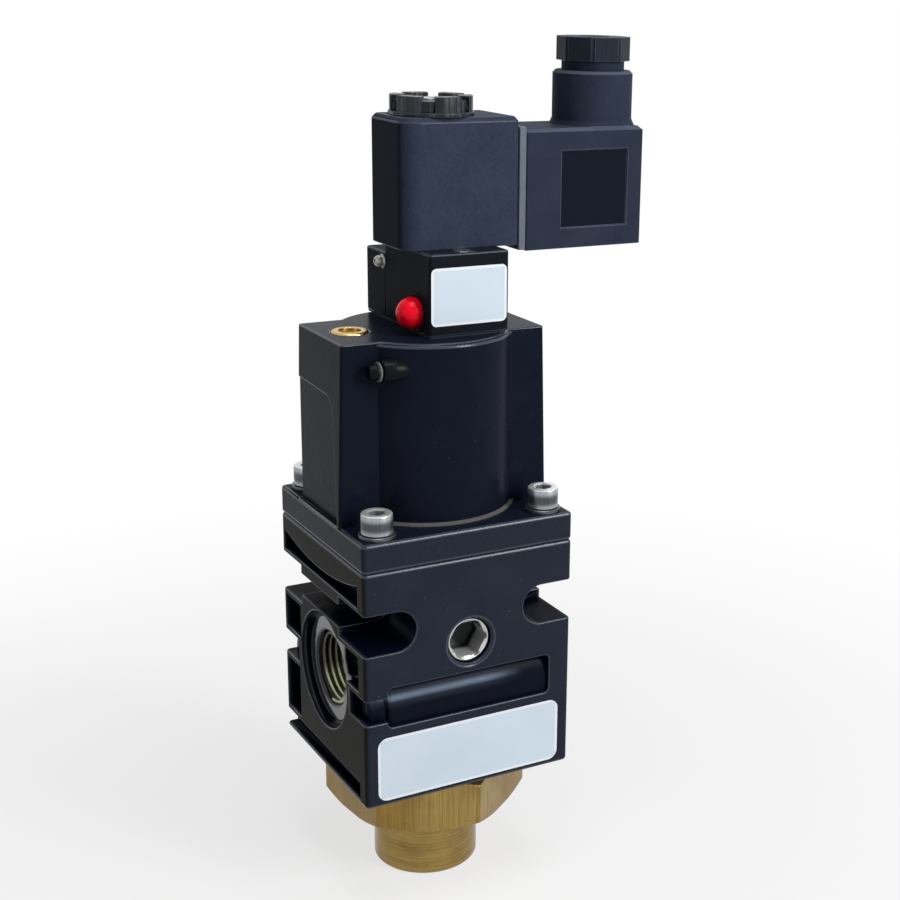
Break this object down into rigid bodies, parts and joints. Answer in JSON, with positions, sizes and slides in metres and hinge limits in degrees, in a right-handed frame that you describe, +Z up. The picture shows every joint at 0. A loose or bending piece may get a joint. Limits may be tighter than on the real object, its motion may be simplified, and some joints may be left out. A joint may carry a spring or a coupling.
{
  "type": "soft start valve",
  "caption": "Pilot-operated pneumatic soft start valve with threaded ports, brass exhaust fitting, throttle needle, solenoid coil and angled plug connector.",
  "frame": {"origin": "centre of the exhaust fitting's lower face, on the axis of the exhaust port and spool", "axes": "+Z up along the spool towards the coil; +X from the inlet port to the outlet port and the plug; +Y to the rear, so the front with the label and gauge port faces -Y"},
  "size_m": [0.0935, 0.0584, 0.2354],
  "materials": {
    "black_paint": "satin",
    "brass": "brushed",
    "nickel": "polished",
    "zinc": "satin",
    "steel": "turned",
    "spring_steel": "drawn",
    "alloy": "turned",
    "nitrile": "matt",
    "grey_rubber": "matt",
    "black_plastic": "fine grain",
    "dark_plastic": "fine grain",
    "red_plastic": "gloss",
    "copper": "wound",
    "tinned": "bright"
  },
  "bodies": {
    "valve": {"exhaust_fitting": "brass", "fitting_seal": "nitrile", "valve_body": "black_paint", "gauge_port_plugs": "nickel", "body_seal": "nitrile", "passage_seals": "nitrile", "stem_guide": "brass", "stem_seal": "nitrile", "return_spring": "spring_steel", "bonnet": "black_paint", "bonnet_screws": "zinc", "bonnet_washers": "zinc", "needle_bush": "brass", "pilot_gasket": "nitrile", "pilot_block": "dark_plastic", "pilot_end_cover": "dark_plastic", "passage_plug": "nickel", "pilot_screws": "zinc", "override_collar": "dark_plastic", "override_spring": "spring_steel", "nozzle": "brass", "armature_tube": "steel", "plunger_spring": "spring_steel", "pole_piece": "steel", "coil_housing": "black_plastic", "coil_winding": "copper", "coil_seals": "nitrile", "coil_nut": "black_plastic", "terminal_blades": "tinned", "connector_gasket": "grey_rubber", "connector_plug": "black_plastic", "contact_carrier": "black_plastic", "connector_screw": "zinc", "gland_seal": "nitrile", "gland_washer": "zinc", "gland_nut": "black_plastic"},
    "spool": {"stem": "steel", "poppet": "alloy", "inlet_seal": "nitrile", "exhaust_seal": "nitrile", "poppet_nut": "zinc", "piston": "alloy", "piston_seal": "nitrile", "piston_nut": "zinc"},
    "adjusting_screw": {"adjusting_screw": "brass"},
    "throttle_needle": {"throttle_needle": "steel"},
    "override_button": {"override_button": "red_plastic"},
    "plunger": {"plunger": "steel"}
  },
  "joints": [
    {"name": "spool_slide", "type": "slide", "parent": "valve", "child": "spool", "axis": [0, 0, -1], "range_m": [0, 0.005], "stiffness_N_per_m": 3000, "springref_m": -0.01, "deforming": ["return_spring"]},
    {"name": "screw_turn", "type": "hinge", "parent": "valve", "child": "adjusting_screw", "pos_m": [-0.0209, 0.0008, 0.1562], "axis": [0, 0, -1], "range_deg": [0, 1440]},
    {"name": "needle_slide", "type": "slide", "parent": "valve", "child": "throttle_needle", "axis": [0, 0, -1], "range_m": [0, 0.002]},
    {"name": "override_slide", "type": "slide", "parent": "valve", "child": "override_button", "axis": [1, 0, 0], "range_m": [0, 0.002], "stiffness_N_per_m": 1500, "springref_m": -0.002, "deforming": ["override_spring"]},
    {"name": "plunger_slide", "type": "slide", "parent": "valve", "child": "plunger", "axis": [0, 0, 1], "range_m": [0, 0.001], "stiffness_N_per_m": 1500, "springref_m": -0.002, "deforming": ["plunger_spring"]}
  ],
  "couplings": [
    {"joint": "screw_turn", "follows": "needle_slide", "rad_per_m": 12566}
  ]
}
